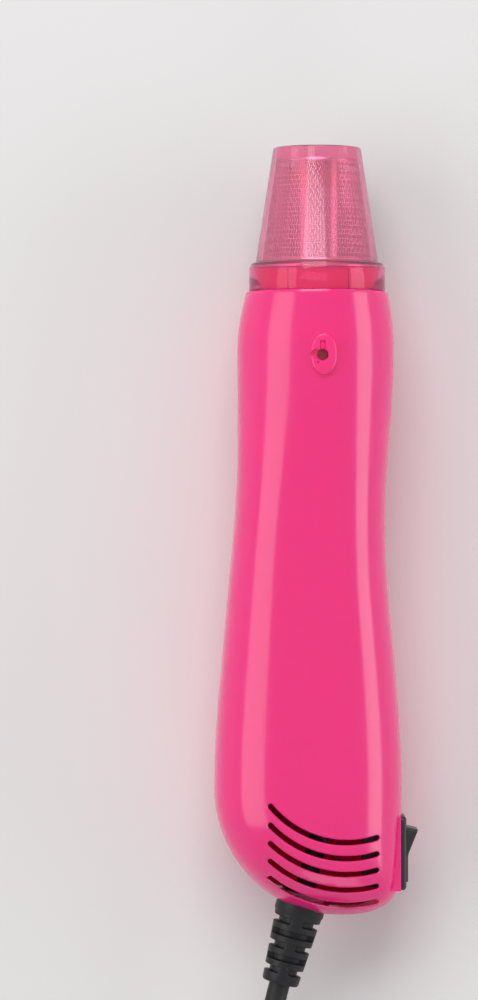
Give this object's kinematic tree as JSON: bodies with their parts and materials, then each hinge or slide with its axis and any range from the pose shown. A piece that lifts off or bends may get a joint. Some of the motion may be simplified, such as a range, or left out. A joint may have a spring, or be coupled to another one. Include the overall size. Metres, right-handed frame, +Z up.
{
  "type": "embossing heat tool",
  "caption": "Slim wand-shaped hot air tool: two-part pink casing, clear tinted nozzle guard over a steel barrel, rear air slots, rocker switch, strain relief and mains lead in a tied hank.",
  "frame": {"origin": "centre of the tool's own bounding box on the surface that it lies on, without the free lead", "axes": "+Y the way the nozzle points, +X towards the side with the switch, +Z up, out of the side that the picture shows"},
  "size_m": [0.0586, 0.453, 0.0447],
  "materials": {
    "body_plastic": "gloss",
    "guard_plastic": "clear tinted",
    "mesh_steel": "fine mesh",
    "barrel_steel": "bright",
    "grille_steel": "satin",
    "mica": "matte",
    "coil_wire": "oxidised",
    "disc_ceramic": "matte",
    "brass_parts": "bright",
    "fuse_ceramic": "matte",
    "duct_plastic": "matte",
    "screw_steel": "zinc plated",
    "motor_steel": "satin",
    "magnet": "matte",
    "cap_plastic": "matte",
    "copper_parts": "copper coloured",
    "bronze": "sintered bronze",
    "board": "satin",
    "diode": "matte",
    "capacitor_sleeve": "satin",
    "switch_black": "fine texture",
    "fan_plastic": "matte",
    "shaft_steel": "polished",
    "boot_rubber": "satin",
    "cord_black": "satin",
    "clamp_plastic": "matte",
    "wire_brown": "satin",
    "wire_blue": "satin",
    "wire_red": "satin",
    "tie_black": "satin",
    "plug_black": "satin",
    "pin_nickel": "nickel plated"
  },
  "bodies": {
    "tool": {"casing_front": "body_plastic", "casing_back": "body_plastic", "casing_screws": "screw_steel", "nozzle_guard": "guard_plastic", "guard_mesh": "mesh_steel", "barrel": "barrel_steel", "outlet_grille": "grille_steel", "mica_sleeve": "mica", "mica_plate_upright": "mica", "mica_plate_flat": "mica", "heating_coil": "coil_wire", "terminal_disc": "disc_ceramic", "terminal_rivets": "brass_parts", "thermal_fuse": "fuse_ceramic", "air_duct": "duct_plastic", "motor_plate": "duct_plastic", "motor_plate_screws": "screw_steel", "motor_can": "motor_steel", "motor_magnets": "magnet", "motor_end_cap": "cap_plastic", "motor_brushes": "copper_parts", "bearing_front": "bronze", "bearing_rear": "bronze", "motor_terminals": "brass_parts", "rectifier_board": "board", "rectifier_diodes": "diode", "capacitor": "capacitor_sleeve", "switch_housing": "switch_black", "switch_terminals": "brass_parts", "cord_boot": "boot_rubber", "cord_inside": "cord_black", "cord_clamp": "clamp_plastic", "clamp_screws": "screw_steel", "wire_live": "wire_brown", "wire_switched": "wire_brown", "wire_neutral": "wire_blue", "wire_motor": "wire_red", "cord_lead": "cord_black", "cord_hank": "cord_black", "cord_tail": "cord_black", "hank_tie": "tie_black", "plug_body": "plug_black", "plug_pins": "pin_nickel"},
    "rotor": {"fan_impeller": "fan_plastic", "motor_shaft": "shaft_steel", "armature_core": "motor_steel", "armature_windings": "copper_parts", "commutator": "copper_parts"},
    "rocker": {"switch_rocker": "switch_black"}
  },
  "joints": [
    {"name": "fan_spin", "type": "hinge", "parent": "tool", "child": "rotor", "pos_m": [0.00033, 0.0199, 0.0223], "axis": [0, 1, 0], "continuous": true},
    {"name": "switch_rock", "type": "hinge", "parent": "tool", "child": "rocker", "pos_m": [0.02323, -0.0811, 0.0223], "axis": [0, 0, 1], "range_deg": [0, 22]}
  ]
}
